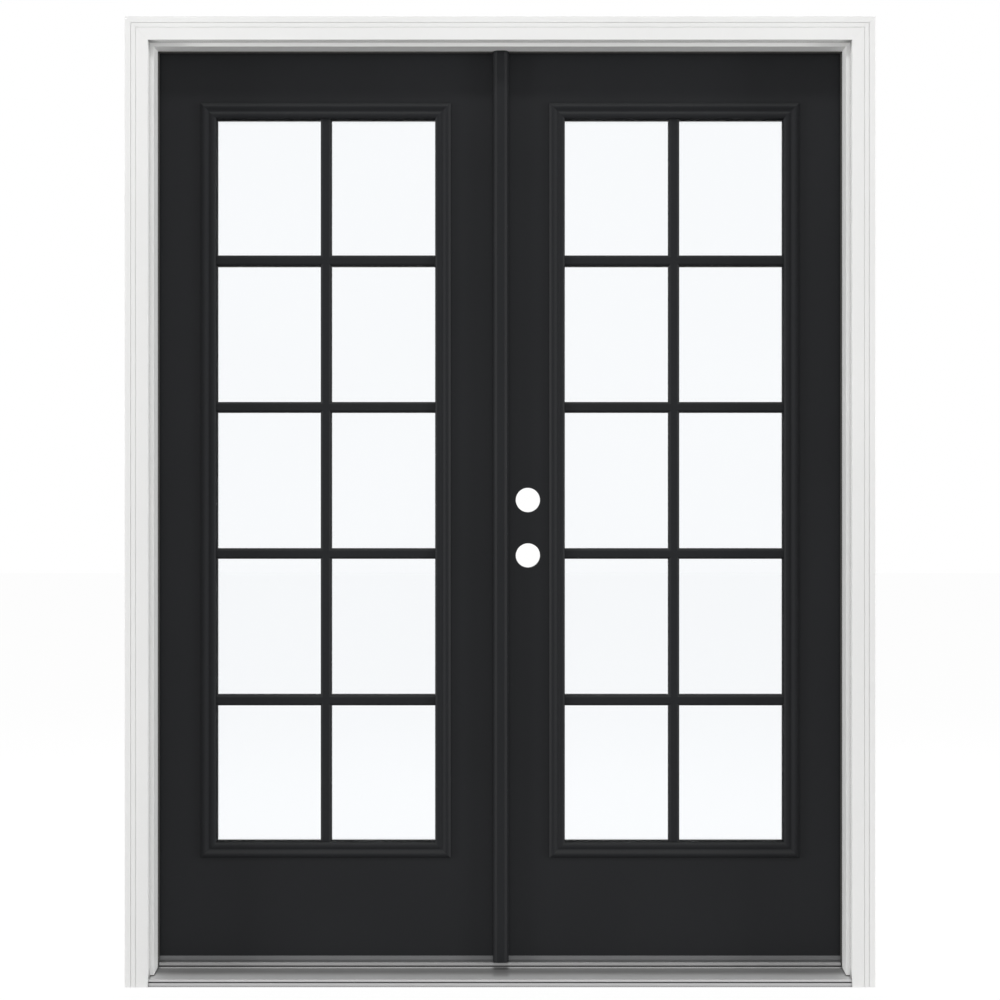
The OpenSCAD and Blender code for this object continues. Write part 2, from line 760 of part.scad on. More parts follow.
// Vinyl door bottom: a plate under the leaf, a front wall bevelled at its foot, a back wall and two fins
module door_bottom(side) {
    wall = 3.4;
    foot_h = 4.2;
    foot_d = 2.6;
    fin = 1.6;
    end = 1;
    drop = leaf_z0 - bottom_seal_h;
    color(grey_vinyl) on_side(side) difference() {
        union() {
            along_x(leaf_x0 + end, leaf_x1 - end) polygon([
                [leaf_y0, leaf_z0], [leaf_y0, drop + foot_h],
                [leaf_y0 + foot_d, drop], [leaf_y0 + wall, drop],
                [leaf_y0 + wall, leaf_z0 - wall], [leaf_y1 - wall, leaf_z0 - wall],
                [leaf_y1 - wall, drop], [leaf_y1, drop], [leaf_y1, leaf_z0]
            ]);
            for (i = [1:2])
                along_x(leaf_x0 + end, leaf_x1 - end) translate([leaf_y0 + i * leaf_t / 3, drop])
                    square([fin, bottom_seal_h - wall / 2]);
        }
        if (side == PASSIVE) rod_z(bolt_x, leaf_mid_y, drop - over, leaf_z0 + over, bolt_r + bolt_room);
    }
}

// The astragal is a T: a shouldered face over the meeting gap and a web on the edge of the passive leaf
astragal_points = concat(
    [[-meet_half, leaf_y0], [astragal_x0, leaf_y0]],
    [[astragal_x0, leaf_y0 - astragal_side],
     [astragal_x0 + astragal_bevel - shoulder_w, astragal_front + shoulder_d],
     [astragal_x0 + astragal_bevel, astragal_front], [astragal_x1 - astragal_bevel, astragal_front],
     [astragal_x1 - astragal_bevel + shoulder_w, astragal_front + shoulder_d],
     [astragal_x1, leaf_y0 - astragal_side]],
    [[astragal_x1, leaf_y0 - seal_gap], [web_t - meet_half, leaf_y0 - seal_gap],
     [web_t - meet_half, leaf_y1], [-meet_half, leaf_y1]]
);

module astragal() {
    color(black_paint) difference() {
        union() {
            translate([0, 0, leaf_z0]) linear_extrude(astragal_z1 - leaf_z0) polygon(astragal_points);
            translate([0, 0, astragal_z0]) linear_extrude(leaf_z0 - astragal_z0) intersection() {
                polygon(astragal_points);
                translate([astragal_x0, astragal_front])
                    square([astragal_w, leaf_y0 - seal_gap - astragal_front]);
            }
        }
        mirror([1, 0, 0]) {
            for (z = [leaf_z1 - bolt_slot_from, leaf_z0 + bolt_slot_from]) bolt_slot(z, bolt_x);
            for (z = latch_zs) strike_cut(z, strike_d);
        }
        translate([seal_x - seal_kerf / 2, leaf_y0 - seal_gap - seal_kerf_d, astragal_z0 - over])
            cube([seal_kerf, seal_kerf_d + over, astragal_z1 - astragal_z0 + 2 * over]);
        astragal_screw_places() astragal_screw(fit);
    }
}

// A foam bulb in a kerf behind the face, where the active leaf closes on it
seal_x = (web_t - meet_half + astragal_x1) / 2;
seal_w = 8;
seal_kerf = 3;
seal_kerf_d = 5;
module astragal_seal() {
    bulb = seal_gap - run;
    color(dark_seal) translate([0, 0, leaf_z0]) linear_extrude(astragal_z1 - leaf_z0) {
        translate([seal_x - seal_kerf / 2 + seat / 2, leaf_y0 - seal_gap - seal_kerf_d + seat])
            square([seal_kerf - seat, seal_kerf_d]);
        translate([seal_x - seal_w / 2, leaf_y0 - seal_gap]) square([seal_w, bulb]);
    }
}

module astragal_screw_places() {
    count = floor((leaf_z1 - leaf_z0) / 2 / astragal_screw_pitch);
    for (i = [-count:count])
        translate([web_t - meet_half, astragal_screw_y, (leaf_z0 + leaf_z1) / 2 + i * astragal_screw_pitch])
            rotate([0, -90, 0]) children();
}

module astragal_screw(grow) {
    cylinder(h = astragal_screw_head, r1 = 2 * astragal_screw_r + grow, r2 = astragal_screw_r + grow);
    cylinder(h = screw_len, r = astragal_screw_r + grow);
}

module astragal_screws() {
    color(steel) astragal_screw_places() astragal_screw(0);
}

// A flush bolt: a round bar in the edge of the leaf with a thumb tab that stops inside the web
module flush_bolt(z0, tab_z) {
    color(steel) on_side(PASSIVE) {
        rod_z(bolt_x, leaf_mid_y, z0, z0 + bolt_len, bolt_r);
        translate([leaf_x0 - web_t + 1, leaf_mid_y - bolt_tab_w / 2, tab_z - bolt_tab_h / 2])
            cube([bolt_x - leaf_x0 + web_t - 1, bolt_tab_w, bolt_tab_h]);
    }
}

module top_flush_bolt() {
    flush_bolt(leaf_z1 - bolt_set - bolt_len, leaf_z1 - bolt_slot_from);
}

module bottom_flush_bolt() {
    flush_bolt(leaf_z0 + bolt_set, leaf_z0 + bolt_slot_from);
}

side_jamb(PASSIVE);  // left_jamb
side_jamb(ACTIVE);  // right_jamb
head_jamb();
sill_base();
sill_deck();
threshold_cap();
cap_screws();
sill_gasket(PASSIVE);  // left_sill_gasket
sill_gasket(ACTIVE);  // right_sill_gasket
side_brickmould(PASSIVE);  // left_brickmould
side_brickmould(ACTIVE);  // right_brickmould
head_brickmould();
side_weatherstrip(PASSIVE);  // left_weatherstrip
side_weatherstrip(ACTIVE);  // right_weatherstrip
head_weatherstrip();
hinge_plates(PASSIVE, 1);  // passive_jamb_hinge_plates
hinge_plates(ACTIVE, 1);  // active_jamb_hinge_plates
hinge_pins(PASSIVE);  // passive_hinge_pins
hinge_pins(ACTIVE);  // active_hinge_pins
hinge_screws(PASSIVE, 1);  // passive_jamb_hinge_screws
hinge_screws(ACTIVE, 1);  // active_jamb_hinge_screws
slab(ACTIVE);  // active_slab
outer_lite_frame(ACTIVE);  // active_outer_lite_frame
inner_lite_frame(ACTIVE);  // active_inner_lite_frame
outer_grille(ACTIVE);  // active_outer_grille
inner_grille(ACTIVE);  // active_inner_grille
outer_pane(ACTIVE);  // active_outer_pane
inner_pane(ACTIVE);  // active_inner_pane
spacer(ACTIVE);  // active_spacer
lite_screws(ACTIVE);  // active_lite_screws
door_bottom(ACTIVE);  // active_door_bottom
hinge_plates(ACTIVE, -1);  // active_hinge_plates
hinge_screws(ACTIVE, -1);  // active_hinge_screws
slab(PASSIVE);  // passive_slab
outer_lite_frame(PASSIVE);  // passive_outer_lite_frame
inner_lite_frame(PASSIVE);  // passive_inner_lite_frame
outer_grille(PASSIVE);  // passive_outer_grille
inner_grille(PASSIVE);  // passive_inner_grille
outer_pane(PASSIVE);  // passive_outer_pane
inner_pane(PASSIVE);  // passive_inner_pane
spacer(PASSIVE);  // passive_spacer
lite_screws(PASSIVE);  // passive_lite_screws
door_bottom(PASSIVE);  // passive_door_bottom
hinge_plates(PASSIVE, -1);  // passive_hinge_plates
hinge_screws(PASSIVE, -1);  // passive_hinge_screws
astragal();
astragal_seal();
astragal_screws();
top_flush_bolt();
bottom_flush_bolt();
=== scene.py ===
from math import radians

import bpy
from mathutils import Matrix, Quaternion, Vector


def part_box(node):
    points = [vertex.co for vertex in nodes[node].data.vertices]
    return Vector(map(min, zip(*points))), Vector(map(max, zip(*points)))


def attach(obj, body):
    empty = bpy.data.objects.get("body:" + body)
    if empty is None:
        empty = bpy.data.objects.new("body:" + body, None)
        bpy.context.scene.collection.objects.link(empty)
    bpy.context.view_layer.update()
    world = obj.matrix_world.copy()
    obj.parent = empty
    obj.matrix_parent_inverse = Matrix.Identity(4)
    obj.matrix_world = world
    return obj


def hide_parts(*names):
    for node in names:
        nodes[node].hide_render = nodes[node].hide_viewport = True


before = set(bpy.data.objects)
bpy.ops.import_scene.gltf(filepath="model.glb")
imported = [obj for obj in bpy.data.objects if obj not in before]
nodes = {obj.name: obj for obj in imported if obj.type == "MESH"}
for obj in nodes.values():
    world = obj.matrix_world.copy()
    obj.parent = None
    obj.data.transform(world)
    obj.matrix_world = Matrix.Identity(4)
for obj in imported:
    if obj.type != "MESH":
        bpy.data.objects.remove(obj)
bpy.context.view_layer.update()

# Camera: the photograph looks straight at the outside of the unit from 5.3 m in front of the
# brickmould, at about half its height, so that both leaves, the reveals and the top of the sill
# show. The lens gives about 2.16 mm a pixel on the front of the brickmould.
CAMERA_PLACE = (0.0, -5.33175, 1.055)
SENSOR_WIDTH = 36.0
FOCAL_LENGTH = 88.15
bpy.ops.object.select_all(action="DESELECT")
bpy.ops.object.camera_add(location=CAMERA_PLACE, rotation=(radians(90), 0.0, 0.0))
camera = bpy.context.object
camera.data.sensor_width = SENSOR_WIDTH
camera.data.lens = FOCAL_LENGTH
bpy.context.scene.camera = camera
bpy.context.scene.view_settings.view_transform = "Standard"

# Studio: a pale floor in a white room. The camera, reflections and glass see plain white, and the
# object is lit by the softer white of the room, a long lamp overhead in front, a lamp far out on
# each side that reaches into the reveals, and one behind for the room side of the unit.
FLOOR_SIZE = 60.0
LAMP_TARGET = Vector((0.0, 0.0, 1.1))


def linear(code):
    """Linear red, green, blue and alpha of an sRGB hex colour."""
    values = [int(code[i:i + 2], 16) / 255.0 for i in (1, 3, 5)]
    return [v / 12.92 if v <= 0.04045 else ((v + 0.055) / 1.055) ** 2.4 for v in values] + [1.0]


def add(tree, kind, inputs=(), stops=(), **settings):
    """A new node with its settings and colour stops, its inputs set to values or linked to sockets."""
    node = tree.nodes.new(kind)
    for name, value in settings.items():
        setattr(node, name, value)
    for count, (position, code) in enumerate(stops):
        # A new ramp comes with two stops
        if count < 2:
            stop = node.color_ramp.elements[count]
            stop.position = position
        else:
            stop = node.color_ramp.elements.new(position)
        stop.color = linear(code)
    for name, value in inputs:
        if isinstance(value, bpy.types.NodeSocket):
            tree.links.new(value, node.inputs[name])
        else:
            node.inputs[name].default_value = value
    return node


def seen_white(tree):
    """A factor that is 1 for the rays of the camera, of reflections and through glass."""
    path = add(tree, "ShaderNodeLightPath")
    either = add(tree, "ShaderNodeMath", [(0, path.outputs["Is Camera Ray"]),
                                          (1, path.outputs["Is Glossy Ray"])], operation="MAXIMUM")
    any_one = add(tree, "ShaderNodeMath", [(0, either.outputs[0]),
                                           (1, path.outputs["Is Transmission Ray"])], operation="MAXIMUM")
    return any_one.outputs[0]


world = bpy.data.worlds.new("white_studio_room")
bpy.context.scene.world = world
world.use_nodes = True
tree = world.node_tree
tree.nodes.clear()
room = add(tree, "ShaderNodeBackground", [("Color", linear("#ffffff")), ("Strength", 0.29)])
white = add(tree, "ShaderNodeBackground", [("Color", linear("#ffffff")), ("Strength", 1.0)])
shown = add(tree, "ShaderNodeMixShader", [(0, seen_white(tree)), (1, room.outputs[0]),
                                          (2, white.outputs[0])])
add(tree, "ShaderNodeOutputWorld", [("Surface", shown.outputs[0])])


def new_material(name):
    """An empty material and its node tree."""
    material = bpy.data.materials.new(name)
    material.use_nodes = True
    material.node_tree.nodes.clear()
    return material, material.node_tree


bpy.ops.object.select_all(action="DESELECT")
bpy.ops.mesh.primitive_plane_add(size=FLOOR_SIZE)
floor = bpy.context.object
floor.name = "studio_floor"
# The camera, reflections and glass see the floor glow almost white under a faint shadow, and the
# light that it throws back on the object is that of plain pale paint
pale_floor, tree = new_material("pale_studio_floor")
plain = add(tree, "ShaderNodeBsdfDiffuse", [("Color", linear("#f6f6f6"))])
faint = add(tree, "ShaderNodeBsdfDiffuse", [("Color", linear("#4a4a4a"))])
glow = add(tree, "ShaderNodeEmission", [("Color", linear("#ffffff")), ("Strength", 0.96)])
bright = add(tree, "ShaderNodeAddShader", [(0, faint.outputs[0]), (1, glow.outputs[0])])
shown = add(tree, "ShaderNodeMixShader", [(0, seen_white(tree)), (1, plain.outputs[0]),
                                          (2, bright.outputs[0])])
add(tree, "ShaderNodeOutputMaterial", [("Surface", shown.outputs[0])])
floor.data.materials.append(pale_floor)


def lamp(name, place, width, height, watts):
    """A rectangular lamp aimed at the middle of the unit."""
    bpy.ops.object.light_add(type="AREA", location=place)
    one = bpy.context.object
    one.name = name
    one.visible_camera = False
    one.data.shape = "RECTANGLE"
    one.data.size = width
    one.data.size_y = height
    one.data.energy = watts
    one.rotation_mode = "QUATERNION"
    one.rotation_quaternion = (LAMP_TARGET - one.location).to_track_quat("-Z", "Y")


lamp("overhead_lamp", place=(0.0, -4.2, 6.4), width=4.0, height=0.7, watts=134.0)
lamp("right_lamp", place=(18.8, -6.84, 1.4), width=4.0, height=4.0, watts=2260.0)
lamp("left_lamp", place=(-18.8, -6.84, 1.4), width=4.0, height=4.0, watts=2260.0)
lamp("back_lamp", place=(0.0, 3.8, 4.2), width=4.0, height=1.5, watts=120.0)

# Jambs: finger-jointed pine machined to a rabbeted section, primed and sprayed with white satin
# paint at the works. The side jambs stand on the sill and the head lies across them, nailed
# through its ends. The faces that go against the wall are left as bare pine.


def satin_white(tree, place):
    """Colour and normal of sprayed white paint: a soft ripple, a slow drift in tone and eased edges."""
    # The spray leaves a ripple about 5 mm long, and its tone drifts over half a metre
    ripple = add(tree, "ShaderNodeTexNoise", [("Vector", place.outputs["Object"]), ("Scale", 1 / 0.005),
                                              ("Detail", 2.0), ("Roughness", 0.5)])
    drift = add(tree, "ShaderNodeTexNoise", [("Vector", place.outputs["Object"]), ("Scale", 1 / 0.5),
                                             ("Detail", 1.0)])
    tone = add(tree, "ShaderNodeValToRGB", [("Fac", drift.outputs["Fac"])],
               stops=[(0.3, "#ececeb"), (0.7, "#f0f0ef")])
    soft_edge = add(tree, "ShaderNodeBevel", [("Radius", 0.0012)], samples=6)
    bump = add(tree, "ShaderNodeBump", [("Strength", 0.06), ("Distance", 0.0004),
                                        ("Height", ripple.outputs["Fac"]),
                                        ("Normal", soft_edge.outputs["Normal"])])
    return tone.outputs["Color"], bump.outputs["Normal"]


def dress(material, *names):
    """Gives CAD nodes one material."""
    for name in names:
        nodes[name].data.materials.clear()
        nodes[name].data.materials.append(material)


# An even white with a low sheen, and dull straw with warmer lines where the pine is bare
jamb_paint, tree = new_material("white_satin_paint_on_pine")
place = add(tree, "ShaderNodeTexCoord")
white_tone, white_normal = satin_white(tree, place)
# The bare faces are found by place, within 0.3 mm of the backs of the jambs
WALL_FACE = 0.0003
wall_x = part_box("right_jamb")[1][0] - WALL_FACE
wall_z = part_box("head_jamb")[1][2] - WALL_FACE
position = add(tree, "ShaderNodeSeparateXYZ", [("Vector", place.outputs["Object"])])
sideways = add(tree, "ShaderNodeMath", [(0, position.outputs["X"])], operation="ABSOLUTE")
on_side = add(tree, "ShaderNodeMath", [(0, sideways.outputs[0]), (1, wall_x)], operation="GREATER_THAN")
on_top = add(tree, "ShaderNodeMath", [(0, position.outputs["Z"]), (1, wall_z)], operation="GREATER_THAN")
bare = add(tree, "ShaderNodeMath", [(0, on_side.outputs[0]), (1, on_top.outputs[0])],
           operation="MAXIMUM")
# A Mix node's sockets go by number: two vectors and their mix, two colours and their mix
VECTOR_A, VECTOR_B, VECTOR_MIX = 4, 5, 1
COLOUR_A, COLOUR_B, COLOUR_MIX = 6, 7, 2
# Growth lines of the pine, 4 mm apart, run a third of a metre along the jamb
along = add(tree, "ShaderNodeMapping", [("Vector", place.outputs["Object"]),
                                        ("Scale", (1 / 0.004, 1 / 0.004, 1 / 0.33))])
across = add(tree, "ShaderNodeMapping", [("Vector", place.outputs["Object"]),
                                         ("Scale", (1 / 0.33, 1 / 0.004, 1 / 0.004))])
run = add(tree, "ShaderNodeMix", [("Factor", on_top.outputs[0]), (VECTOR_A, along.outputs["Vector"]),
                                  (VECTOR_B, across.outputs["Vector"])], data_type="VECTOR")
growth = add(tree, "ShaderNodeTexNoise", [("Vector", run.outputs[VECTOR_MIX]), ("Scale", 1.0),
                                          ("Detail", 4.0), ("Distortion", 0.4)])
pine = add(tree, "ShaderNodeValToRGB", [("Fac", growth.outputs["Fac"])],
           stops=[(0.4, "#b98f5a"), (0.6, "#d6bb90")])
tone = add(tree, "ShaderNodeMix", [("Factor", bare.outputs[0]), (COLOUR_A, white_tone),
                                   (COLOUR_B, pine.outputs["Color"])], data_type="RGBA")
rough = add(tree, "ShaderNodeMapRange", [("Value", bare.outputs[0]), ("To Min", 0.42), ("To Max", 0.7)])
surface = add(tree, "ShaderNodeBsdfPrincipled", [("Base Color", tone.outputs[COLOUR_MIX]),
                                                 ("Roughness", rough.outputs["Result"]), ("IOR", 1.5),
                                                 ("Specular IOR Level", 0.3), ("Normal", white_normal)])
add(tree, "ShaderNodeOutputMaterial", [("Surface", surface.outputs[0])])
dress(jamb_paint, "left_jamb", "right_jamb", "head_jamb")

# Brickmould: two-inch pine moulding run with two grooves, sprayed with the same white, mitred at
# the top corners and nailed to the front edges of the jambs. The inner edge, in the corner
# beside the jamb, has painted shade in its colour and reads a step greyer than the face.
brick_paint, tree = new_material("white_satin_paint_on_moulding")
place = add(tree, "ShaderNodeTexCoord")
white_tone, white_normal = satin_white(tree, place)
# The inner edge is found by place, within half a millimetre of the opening between the mouldings
INNER_EDGE = 0.0005
inner_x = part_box("right_brickmould")[0][0] + INNER_EDGE
inner_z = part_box("head_brickmould")[0][2] + INNER_EDGE
position = add(tree, "ShaderNodeSeparateXYZ", [("Vector", place.outputs["Object"])])
sideways = add(tree, "ShaderNodeMath", [(0, position.outputs["X"])], operation="ABSOLUTE")
inside = add(tree, "ShaderNodeMath", [(0, sideways.outputs[0]), (1, inner_x)], operation="LESS_THAN")
below = add(tree, "ShaderNodeMath", [(0, position.outputs["Z"]), (1, inner_z)], operation="LESS_THAN")
edge = add(tree, "ShaderNodeMath", [(0, inside.outputs[0]), (1, below.outputs[0])],
           operation="MULTIPLY")
# The corner's shade reaches about 25 mm
hollow = add(tree, "ShaderNodeAmbientOcclusion", [("Distance", 0.025)], samples=8)
painted_corner_shade = add(tree, "ShaderNodeValToRGB", [("Fac", hollow.outputs["AO"])],
             stops=[(0.55, "#a2a2a2"), (1.0, "#ffffff")])
tone = add(tree, "ShaderNodeMix", [("Factor", edge.outputs[0]), (COLOUR_A, white_tone),
                                   (COLOUR_B, painted_corner_shade.outputs["Color"])],
           data_type="RGBA", blend_type="MULTIPLY")
surface = add(tree, "ShaderNodeBsdfPrincipled", [("Base Color", tone.outputs[COLOUR_MIX]),
                                                 ("Roughness", 0.42), ("IOR", 1.5),
                                                 ("Specular IOR Level", 0.3), ("Normal", white_normal)])
add(tree, "ShaderNodeOutputMaterial", [("Surface", surface.outputs[0])])
dress(brick_paint, "left_brickmould", "right_brickmould", "head_brickmould")

# Sill: an aluminium extrusion with nose, drip groove, sloping deck and dam, and the cap that the
# leaves close over, both etched and anodised to a dull grey. The die leaves fine lines along the
# length. Light and shade are painted into its colour: the deck is lighter behind the nose and shaded
# darker towards the dam, the dam is lit, and the nose and the cap are shaded.
anodised, tree = new_material("dull_anodised_aluminium_extrusion")
place = add(tree, "ShaderNodeTexCoord")
# Die lines are under 1 mm wide and run the length, drawn 1.5 mm wide and 1.6 m long so that they show
along = add(tree, "ShaderNodeMapping", [("Vector", place.outputs["Object"]),
                                        ("Scale", (1 / 1.6, 1 / 0.0015, 1 / 0.0015))])
lines = add(tree, "ShaderNodeTexNoise", [("Vector", along.outputs["Vector"]), ("Scale", 1.0),
                                         ("Detail", 3.0)])
shade = add(tree, "ShaderNodeValToRGB", [("Fac", lines.outputs["Fac"])],
            stops=[(0.3, "#f8f8f8"), (0.7, "#ffffff")])
# Dullness varies in patches of 120 mm
patch = add(tree, "ShaderNodeTexNoise", [("Vector", place.outputs["Object"]), ("Scale", 1 / 0.12),
                                         ("Detail", 2.0)])
rough = add(tree, "ShaderNodeMapRange", [("Value", patch.outputs["Fac"]), ("From Min", 0.3),
                                         ("From Max", 0.7), ("To Min", 0.40), ("To Max", 0.48)])
# Painted light and shade go by depth in metres behind the face of the nose: nose, deck, dam and, last, cap
SILL_PAINTED_LIGHT_AND_SHADE = ((0.00075, "#c2c2c2"), (0.00125, "#e8e8e8"), (0.01975, "#e8e8e8"), (0.03675, "#d5d5d5"),
              (0.04475, "#bcbcbc"), (0.05175, "#a9a9a9"), (0.05975, "#909090"), (0.08825, "#909090"),
              (0.08855, "#e6e6e6"), (0.09075, "#e6e6e6"), (0.09095, "#a6a6a6"))
# A painted reflection of the astragal darkens the deck and the dam under it, and its sides fade out
ASTRAGAL_REFLECTION_TONES = ((0.01475, "#ffffff"), (0.03675, "#dadada"), (0.05975, "#f3f3f3"), (0.07375, "#f3f3f3"),
               (0.07975, "#b0b0b0"), (0.09075, "#b0b0b0"), (0.09095, "#ffffff"))
REFLECTION_FADE = 0.004
# What stands 1 mm or more above the dam is the cap, and is set so far back that it has the last tone
CAP_RISE = 0.001
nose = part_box("sill_deck")[0][1]
dam_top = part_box("sill_deck")[1][2]
position = add(tree, "ShaderNodeSeparateXYZ", [("Vector", place.outputs["Object"])])
cap = add(tree, "ShaderNodeMath", [(0, position.outputs["Z"]), (1, dam_top + CAP_RISE)],
          operation="GREATER_THAN")
inwards = add(tree, "ShaderNodeMath", [(0, position.outputs["Y"]), (1, cap.outputs[0])],
              operation="ADD")
low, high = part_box("astragal")
middle = (low[0] + high[0]) / 2
reach = (high[0] - low[0]) / 2
offset = add(tree, "ShaderNodeMath", [(0, position.outputs["X"]), (1, middle)], operation="SUBTRACT")
away = add(tree, "ShaderNodeMath", [(0, offset.outputs[0])], operation="ABSOLUTE")
under = add(tree, "ShaderNodeMapRange", [("Value", away.outputs[0]), ("From Min", reach + REFLECTION_FADE),
                                         ("From Max", reach - REFLECTION_FADE)])
grey = shade.outputs["Color"]
for tones, share in ((SILL_PAINTED_LIGHT_AND_SHADE, 1.0), (ASTRAGAL_REFLECTION_TONES, under.outputs["Result"])):
    first = tones[0][0]
    last = tones[-1][0]
    depth = add(tree, "ShaderNodeMapRange", [("Value", inwards.outputs[0]), ("From Min", nose + first),
                                             ("From Max", nose + last)])
    tone = add(tree, "ShaderNodeValToRGB", [("Fac", depth.outputs["Result"])],
               stops=[((behind - first) / (last - first), code) for behind, code in tones])
    toned = add(tree, "ShaderNodeMix", [("Factor", share), (COLOUR_A, grey),
                                        (COLOUR_B, tone.outputs["Color"])],
                data_type="RGBA", blend_type="MULTIPLY")
    grey = toned.outputs[COLOUR_MIX]
# Shade is painted into the drip groove and the corners of the deck within about 8 mm, and none on the cap
off_cap = add(tree, "ShaderNodeMath", [(0, 1.0), (1, cap.outputs[0])], operation="SUBTRACT")
hollow = add(tree, "ShaderNodeAmbientOcclusion", [("Distance", 0.008)], samples=8)
painted_groove_shade = add(tree, "ShaderNodeValToRGB", [("Fac", hollow.outputs["AO"])],
            stops=[(0.35, "#7a7a7a"), (0.85, "#ffffff")])
groove_shaded = add(tree, "ShaderNodeMix", [("Factor", off_cap.outputs[0]), (COLOUR_A, grey),
                                    (COLOUR_B, painted_groove_shade.outputs["Color"])],
            data_type="RGBA", blend_type="MULTIPLY")
bump = add(tree, "ShaderNodeBump", [("Strength", 0.15), ("Distance", 0.0002),
                                    ("Height", lines.outputs["Fac"])])
surface = add(tree, "ShaderNodeBsdfPrincipled", [("Base Color", groove_shaded.outputs[COLOUR_MIX]),
                                                 ("Metallic", 0.3), ("Roughness", rough.outputs["Result"]),
                                                 ("Normal", bump.outputs["Normal"])])
add(tree, "ShaderNodeOutputMaterial", [("Surface", surface.outputs[0])])
dress(anodised, "sill_deck", "threshold_cap")

# Sill base: wood flour and plastic extruded as one bar, dull grey brown with a fine fleck.
# It carries the metal deck and lies on the floor of the opening.
composite, tree = new_material("wood_plastic_composite")
place = add(tree, "ShaderNodeTexCoord")
# Flecks of wood flour, about 2 mm
fleck = add(tree, "ShaderNodeTexNoise", [("Vector", place.outputs["Object"]), ("Scale", 1 / 0.002),
                                         ("Detail", 4.0)])
tone = add(tree, "ShaderNodeValToRGB", [("Fac", fleck.outputs["Fac"])],
           stops=[(0.35, "#77716a"), (0.65, "#928b82")])
bump = add(tree, "ShaderNodeBump", [("Strength", 0.2), ("Distance", 0.0003),
                                    ("Height", fleck.outputs["Fac"])])
surface = add(tree, "ShaderNodeBsdfPrincipled", [("Base Color", tone.outputs["Color"]),
                                                 ("Roughness", 0.75), ("Normal", bump.outputs["Normal"])])
add(tree, "ShaderNodeOutputMaterial", [("Surface", surface.outputs[0])])
dress(composite, "sill_base")

# Weatherstrips and gaskets: urethane foam in a dark polythene skin. The strips are pushed by a barb
# into the kerf of the stop, so that the leaf closes on them, the astragal carries one of its own,
# and a flat gasket seals the foot of each side jamb on the sill.
foam_seal, tree = new_material("skinned_urethane_foam")
place = add(tree, "ShaderNodeTexCoord")
# A dark grey with a weak sheen, whose skin wrinkles about every 3 mm where the foam is pressed
wrinkle = add(tree, "ShaderNodeTexNoise", [("Vector", place.outputs["Object"]), ("Scale", 1 / 0.003),
                                           ("Detail", 3.0)])
tone = add(tree, "ShaderNodeValToRGB", [("Fac", wrinkle.outputs["Fac"])],
           stops=[(0.3, "#3a3937"), (0.7, "#474644")])
bump = add(tree, "ShaderNodeBump", [("Strength", 0.3), ("Distance", 0.0005),
                                    ("Height", wrinkle.outputs["Fac"])])
surface = add(tree, "ShaderNodeBsdfPrincipled", [("Base Color", tone.outputs["Color"]),
                                                 ("Roughness", 0.6), ("IOR", 1.5),
                                                 ("Specular IOR Level", 0.25),
                                                 ("Normal", bump.outputs["Normal"])])
add(tree, "ShaderNodeOutputMaterial", [("Surface", surface.outputs[0])])
dress(foam_seal, "left_weatherstrip", "right_weatherstrip", "head_weatherstrip", "astragal_seal",
      "left_sill_gasket", "right_sill_gasket")

# Slabs and astragal: flush leaves with smooth glass-fibre skins over wood stiles and rails, sprayed
# satin black. The active one is bored for its lock. The passive one carries the astragal, a T
# moulding in the same black screwed to its meeting edge.
black_paint, tree = new_material("black_satin_paint_on_glass_fibre")
place = add(tree, "ShaderNodeTexCoord")
# An even black with a faint orange peel from the spray gun, about 4 mm, and a soft gloss that drifts
# over a third of a metre
peel = add(tree, "ShaderNodeTexNoise", [("Vector", place.outputs["Object"]), ("Scale", 1 / 0.004),
                                        ("Detail", 2.0)])
drift = add(tree, "ShaderNodeTexNoise", [("Vector", place.outputs["Object"]), ("Scale", 1 / 0.35),
                                         ("Detail", 1.0)])
tone = add(tree, "ShaderNodeValToRGB", [("Fac", drift.outputs["Fac"])],
           stops=[(0.3, "#1b1c1e"), (0.7, "#1e1f21")])
rough = add(tree, "ShaderNodeMapRange", [("Value", drift.outputs["Fac"]), ("From Min", 0.3),
                                         ("From Max", 0.7), ("To Min", 0.40), ("To Max", 0.46)])
# The gun passes the faces straight on, and the sloped and square edges come out drier and duller
turned = add(tree, "ShaderNodeSeparateXYZ", [("Vector", place.outputs["Normal"])])
facing = add(tree, "ShaderNodeMath", [(0, turned.outputs["Y"])], operation="ABSOLUTE")
dry = add(tree, "ShaderNodeMapRange", [("Value", facing.outputs[0]), ("From Min", 0.85),
                                       ("From Max", 0.97), ("To Min", 0.62), ("To Max", 0.0)])
dull = add(tree, "ShaderNodeMath", [(0, rough.outputs["Result"]), (1, dry.outputs["Result"])],
           operation="MAXIMUM")
soft_edge = add(tree, "ShaderNodeBevel", [("Radius", 0.0010)], samples=6)
bump = add(tree, "ShaderNodeBump", [("Strength", 0.08), ("Distance", 0.0004),
                                    ("Height", peel.outputs["Fac"]),
                                    ("Normal", soft_edge.outputs["Normal"])])
surface = add(tree, "ShaderNodeBsdfPrincipled", [("Base Color", tone.outputs["Color"]),
                                                 ("Roughness", dull.outputs[0]), ("IOR", 1.5),
                                                 ("Specular IOR Level", 0.15),
                                                 ("Normal", bump.outputs["Normal"])])
add(tree, "ShaderNodeOutputMaterial", [("Surface", surface.outputs[0])])
dress(black_paint, "active_slab", "passive_slab", "astragal")

# Light frames and glazing bars: moulded in black weatherable plastic, two frames a leaf screwed
# together through the opening from the room side, with a grid of bars on each face of the glass.
black_plastic, tree = new_material("moulded_black_asa_plastic")
place = add(tree, "ShaderNodeTexCoord")
# The mould's spark-eroded grain mottles the black. It is about 1 mm, drawn 3 mm so that it shows
grain = add(tree, "ShaderNodeTexNoise", [("Vector", place.outputs["Object"]), ("Scale", 1 / 0.003),
                                         ("Detail", 3.0)])
mottle = add(tree, "ShaderNodeValToRGB", [("Fac", grain.outputs["Fac"])],
             stops=[(0.3, "#f0f0f0"), (0.7, "#ffffff")])
